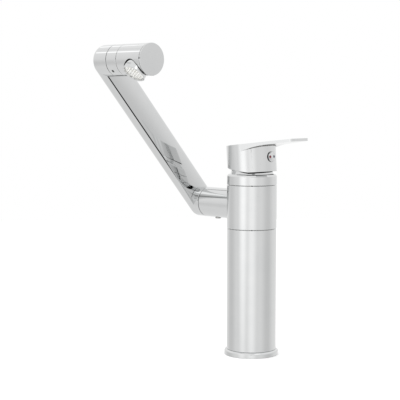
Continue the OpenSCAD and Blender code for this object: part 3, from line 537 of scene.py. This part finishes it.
def join_rings(rings, closed):
    """Quads between rings of points, all with as many points; a closed row of rings ends where it began."""
    columns = len(rings[0])
    points = [point for ring in rings for point in ring]
    pairs = len(rings) if closed else len(rings) - 1
    faces = []
    for row in range(pairs):
        low, high = row * columns, (row + 1) % len(rings) * columns
        for column in range(columns):
            beside = (column + 1) % columns
            faces.append((low + column, low + beside, high + beside, high + column))
    if not closed:
        faces.append(tuple(reversed(range(columns))))
        faces.append(tuple(range(len(points) - columns, len(points))))
    return points, faces


def make_piece(name, shape, finish, node, body):
    """Smooth piece of given points and faces that takes a node's place and rides on its body."""
    points, faces = shape
    mesh = bpy.data.meshes.new(name)
    mesh.from_pydata(points, [], faces)
    for face in mesh.polygons:
        face.use_smooth = True
    mesh.set_sharp_from_angle(angle=SHARP_ANGLE)
    mesh.materials.append(finish)
    piece = bpy.data.objects.new(name, mesh)
    bpy.context.scene.collection.objects.link(piece)
    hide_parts(node)
    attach(piece, body)


STUD_PITCH = 0.00125
STUD_R = 0.0040
THREAD_DEPTH = 0.00072
STUD_TIP_R = 0.0033
STUD_TIP = 0.0078
STUD_END_ROUND = 0.0004
STUD_GROOVE_IN = 0.00005
STUD_COLUMNS = 28
THREAD_CREST = 0.12
THREAD_FLANK = 0.7
ROWS_A_PITCH = 9
STUD_AXIS_X = 0.012
NUT_FLATS = 0.013
NUT_PLAY = 0.00006
NUT_COLUMNS = 96
NUT_MOUTH = 0.0004
NUT_END_STEPS = (0, 0.00015, 0.0003, 0.00045, 0.0006, 0.0008)
NUT_CHAMFER_SHARE = 0.97
NUT_CHAMFER_SLOPE = 1.73


def thread_r(height, turn, grow):
    """Radius of the stud's coarse thread at a height and a share of a turn."""
    share = (height / STUD_PITCH - turn) % 1
    rise = min(1, max(0, (1 - abs(2 * share - 1) - THREAD_CREST) / THREAD_FLANK))
    return STUD_R + grow - THREAD_DEPTH * (1 - rise)


def ring_at(radii, height):
    """Ring of points round the stud's axis, one for each radius."""
    count = len(radii)
    return [
        (STUD_AXIS_X + r * math.cos(i * math.tau / count), r * math.sin(i * math.tau / count), height)
        for i, r in enumerate(radii)
    ]


def ends_of(node):
    return [corner[2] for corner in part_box(node)]


def cut_threaded_stud():
    """Stud with a plain tip and a coarse thread up to its top."""
    columns = STUD_COLUMNS
    low, high = ends_of("fixing_stud")
    start = low + STUD_TIP
    rings = [
        ring_at([STUD_TIP_R - STUD_END_ROUND] * columns, low),
        ring_at([STUD_TIP_R] * columns, low + STUD_END_ROUND),
        ring_at([STUD_TIP_R - STUD_GROOVE_IN] * columns, start),
    ]
    rows = round((high - start) / STUD_PITCH * ROWS_A_PITCH)
    for row in range(1, rows + 1):
        height = start + (high - start) * row / rows
        fade = min(height - start, high - height) + STUD_R - THREAD_DEPTH
        rings.append(ring_at([min(fade, thread_r(height, i / columns, 0)) for i in range(columns)], height))
    make_piece("threaded_stud", join_rings(rings, False), zinc_steel, "fixing_stud", "base")


def cut_clamping_nut():
    """Six-sided nut with chamfered corners and a thread in its bore."""
    columns = NUT_COLUMNS
    low, high = ends_of("fixing_nut")
    flats = [
        NUT_FLATS / 2 / math.cos(math.radians(i * 360 / columns % 60 - 30)) for i in range(columns)
    ]
    rings = []
    for height in [low + end for end in NUT_END_STEPS] + [high - end for end in reversed(NUT_END_STEPS)]:
        chamfer = NUT_FLATS / 2 * NUT_CHAMFER_SHARE + min(height - low, high - height) * NUT_CHAMFER_SLOPE
        rings.append(ring_at([min(chamfer, r) for r in flats], height))
    rows = round((high - low) / STUD_PITCH * ROWS_A_PITCH)
    for row in range(rows + 1):
        height = high - (high - low) * row / rows
        mouth = STUD_R + NUT_MOUTH - min(height - low, high - height)
        bore = [max(mouth, thread_r(height, i / columns, NUT_PLAY)) for i in range(columns)]
        rings.append(ring_at(bore, height))
    make_piece("clamping_nut", join_rings(rings, True), turned_brass, "fixing_nut", "base")


DROP_COLUMNS = 32
# Radius of the drop and its rise over the plug's face, from the foot to the middle
DROP_PROFILE = (
    (0.00138, -0.0005), (0.00142, -0.00012), (0.00137, 0.00003), (0.00122, 0.00011), (0.0009, 0.00018),
    (0.0005, 0.00022), (0.00015, 0.00023),
)


def pour_enamel_drop(name, node, finish):
    """Low round drop of enamel that stands a little proud of the index plug's face."""
    low, high = (Vector(corner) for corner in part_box(node))
    out, up = Vector(PLUG_AXIS), Vector(HUB_AXIS)
    beside = up.cross(out)
    aside = ((low + high) / 2 - Vector(PLUG_POINT)).dot(beside)
    middle = Vector(PLUG_POINT) + out * (PLUG_FACE - aside * aside / (2 * PLUG_FACE_ROUND)) + beside * aside
    rings = []
    for r, rise in DROP_PROFILE:
        rings.append([
            tuple(middle + out * rise + (beside * math.cos(a) + up * math.sin(a)) * r)
            for a in (i * math.tau / DROP_COLUMNS for i in range(DROP_COLUMNS))
        ])
    make_piece(name, join_rings(rings, False), finish, node, "handle")


cut_threaded_stud()
cut_clamping_nut()
pour_enamel_drop("hot_enamel_drop", "hot_mark", red_enamel)
pour_enamel_drop("cold_enamel_drop", "cold_mark", blue_enamel)

# The light tent round the tap. Bearings are in degrees from straight behind the camera, heights in degrees
VIEW_BEARING = -46.18

# Grey of the tent's plain cloth by height, the same all round: below, level and above
TENT_TONES = [(-40, 205), (0, 210), (40, 220)]

# Dark and light things in front of the cloth: bearing, height, half width, half height, soft edge, grey
TENT_PANELS = {
    "main_softbox": (-40, 0, 30, 20, 0.9, 250),
    "fill_board": (0, -5, 30, 20, 0.9, 235),
    "left_wall": (-110, -10, 40, 20, 0.9, 190),
    "right_wall": (80, -10, 40, 20, 0.9, 190),
    "table_edge": (60, -25, 22, 13, 0.5, 22),
    "camera": (0, 7, 5, 5, 0.3, 30),
    "camera_stand": (8, 23, 11, 6, 0.5, 150),
    "front_lamp": (30, 45, 14, 9.5, 0.3, 276),
    "roof_seam": (-160, 38.8, 8, 2.8, 0.5, 165),
    "roof_gap": (-126, 39.8, 7, 2.2, 0.5, 214),
    "left_lamp": (-110, 33.5, 6, 3, 0.5, 256),
    "back_lamp": (-153, 34, 6, 2.5, 0.4, 256),
}


def linear(grey):
    """Linear light of a grey from 0 to 255."""
    level = grey / 255
    return level / 12.92 if level <= 0.04045 else ((level + 0.055) / 1.055) ** 2.4


def build_tent_panel():
    """Soft oval patch on the tent's cloth, as a mask."""
    group, start, end = new_group(
        "tent_panel",
        [
            ("Bearing", "Float", 0.0),
            ("Height", "Float", 0.0),
            ("Panel Bearing", "Float", 0.0),
            ("Panel Height", "Float", 0.0),
            ("Half Width", "Float", 10.0),
            ("Half Height", "Float", 10.0),
            ("Sharp Share", "Float", 0.5),
        ],
        [("Mask", "Float")],
    )
    reach = []
    sides = (("Bearing", "Panel Bearing", "Half Width"), ("Height", "Panel Height", "Half Height"))
    for place, middle, half in sides:
        away = maths(group, "SUBTRACT", start.outputs[place], start.outputs[middle])
        share = maths(group, "DIVIDE", away, start.outputs[half])
        reach.append(maths(group, "MULTIPLY", share, share))
    away = maths(group, "SQRT", maths(group, "ADD", *reach))
    edge = soft_step(group, from_max=1.0, to_min=1.0, to_max=0.0)
    group.links.new(away, edge.inputs["Value"])
    group.links.new(start.outputs["Sharp Share"], edge.inputs["From Min"])
    group.links.new(edge.outputs["Result"], end.inputs["Mask"])
    return group


def mix_value(tree, share, first, second):
    """Mix of two values by a share, each a socket or a number."""
    node = add_node(tree, "Mix", {"data_type": "FLOAT"})
    for name, value in (("Factor", share), ("A", first), ("B", second)):
        if isinstance(value, bpy.types.NodeSocket):
            tree.links.new(value, node.inputs[name])
        else:
            node.inputs[name].default_value = value
    return node.outputs["Result"]


def build_studio():
    """White to the camera. What the metal mirrors is the tent's cloth and the things in front of it."""
    world = bpy.data.worlds.new("light_tent")
    bpy.context.scene.world = world
    world.use_nodes = True
    tree = world.node_tree
    links = tree.links
    tree.nodes.clear()
    place = add_node(tree, "TexCoord")
    parts = add_node(tree, "SeparateXYZ")
    links.new(place.outputs["Generated"], parts.inputs[0])
    height = maths(tree, "DEGREES", maths(tree, "ARCSINE", parts.outputs["Z"]))
    angle = maths(tree, "ARCTAN2", parts.outputs["Y"], parts.outputs["X"])
    around = maths(tree, "DIVIDE", angle, math.tau)
    turn = maths(tree, "FRACT", maths(tree, "ADD", around, 0.5 - VIEW_BEARING / 360))
    bearing = maths(tree, "MULTIPLY_ADD", turn, 360.0, -180.0)
    full = 1 / CHROME[0]
    tone = linear(TENT_TONES[0][1])
    for (lower, _), (upper, grey) in zip(TENT_TONES, TENT_TONES[1:]):
        share = soft_step(tree, from_min=float(lower), from_max=float(upper))
        links.new(height, share.inputs["Value"])
        tone = mix_value(tree, share.outputs["Result"], tone, linear(grey))
    tent_panel = build_tent_panel()
    for at, up, half_width, half_height, soft, grey in TENT_PANELS.values():
        panel = tree.nodes.new("ShaderNodeGroup")
        panel.node_tree = tent_panel
        links.new(bearing, panel.inputs["Bearing"])
        links.new(height, panel.inputs["Height"])
        panel.inputs["Panel Bearing"].default_value = at
        panel.inputs["Panel Height"].default_value = up
        panel.inputs["Half Width"].default_value = half_width / math.cos(math.radians(up))
        panel.inputs["Half Height"].default_value = half_height
        panel.inputs["Sharp Share"].default_value = 1 - soft
        tone = mix_value(tree, panel.outputs["Mask"], tone, linear(grey))
    path = add_node(tree, "LightPath")
    seen = mix_value(tree, path.outputs["Is Camera Ray"], maths(tree, "MULTIPLY", tone, full), 1.0)
    tent = add_node(tree, "Background", None, {"Color": (1, 1, 1, 1)})
    links.new(seen, tent.inputs["Strength"])
    end = add_node(tree, "OutputWorld")
    links.new(tent.outputs[0], end.inputs["Surface"])


FLOOR_R = 1.4
FLOOR_Z = -0.0003
FLOOR_SIDES = 96
FLOOR_WHITE = 0.86
FLOOR_GLOW = 0.2


def build_floor():
    """Round sheet of white paper that keeps the tap's shadow."""
    mesh = bpy.data.meshes.new("studio_floor")
    turns = [side * math.tau / FLOOR_SIDES for side in range(FLOOR_SIDES)]
    rim = [(FLOOR_R * math.cos(turn), FLOOR_R * math.sin(turn), FLOOR_Z) for turn in turns]
    mesh.from_pydata(rim, [], [list(range(FLOOR_SIDES))])
    floor = bpy.data.objects.new("studio_floor", mesh)
    bpy.context.scene.collection.objects.link(floor)
    floor.visible_glossy = False
    material = bpy.data.materials.new("white_paper")
    material.use_nodes = True
    shader = material.node_tree.nodes["Principled BSDF"]
    shader.inputs["Base Color"].default_value = (FLOOR_WHITE, FLOOR_WHITE, FLOOR_WHITE, 1)
    shader.inputs["Roughness"].default_value = 0.9
    shader.inputs["Specular IOR Level"].default_value = 0.1
    shader.inputs["Emission Color"].default_value = (1, 1, 1, 1)
    shader.inputs["Emission Strength"].default_value = FLOOR_GLOW
    mesh.materials.append(material)


LAMP_AIM = Vector((0, -0.05, 0.15))


def build_lamp(name, where, size, power):
    lamp = bpy.data.lights.new(name, "AREA")
    lamp.shape = "SQUARE"
    lamp.size = size
    lamp.energy = power
    holder = bpy.data.objects.new(name, lamp)
    holder.location = where
    holder.rotation_euler = (LAMP_AIM - Vector(where)).to_track_quat("-Z", "Y").to_euler()
    holder.visible_glossy = False
    bpy.context.scene.collection.objects.link(holder)


# The camera, solved from the seams and outlines in the photo
CAMERA_LENS = 108.396
CAMERA_PLACE = (0.83161, -0.86667, 0.25370)
CAMERA_FORWARD = (-0.7204, 0.6887, -0.0818)
CAMERA_ROLL = math.radians(0.067)


def build_camera():
    camera = bpy.data.cameras.new("photo_camera")
    camera.sensor_width = 36
    camera.lens = CAMERA_LENS
    camera.clip_start = 0.01
    holder = bpy.data.objects.new("photo_camera", camera)
    forward = Vector(CAMERA_FORWARD).normalized()
    across = forward.cross(Vector((0, 0, 1))).normalized()
    up = across.cross(forward)
    facing = Matrix((across, up, -forward)).transposed()
    holder.matrix_world = (
        Matrix.Translation(CAMERA_PLACE)
        @ facing.to_4x4()
        @ Matrix.Rotation(CAMERA_ROLL, 4, "Z")
    )
    bpy.context.scene.collection.objects.link(holder)
    bpy.context.scene.camera = holder


build_studio()
build_floor()
build_lamp("overhead_softbox", (-0.25, -0.35, 1.5), 1.2, 9.0)
build_camera()

bpy.context.scene.view_settings.view_transform = "Standard"
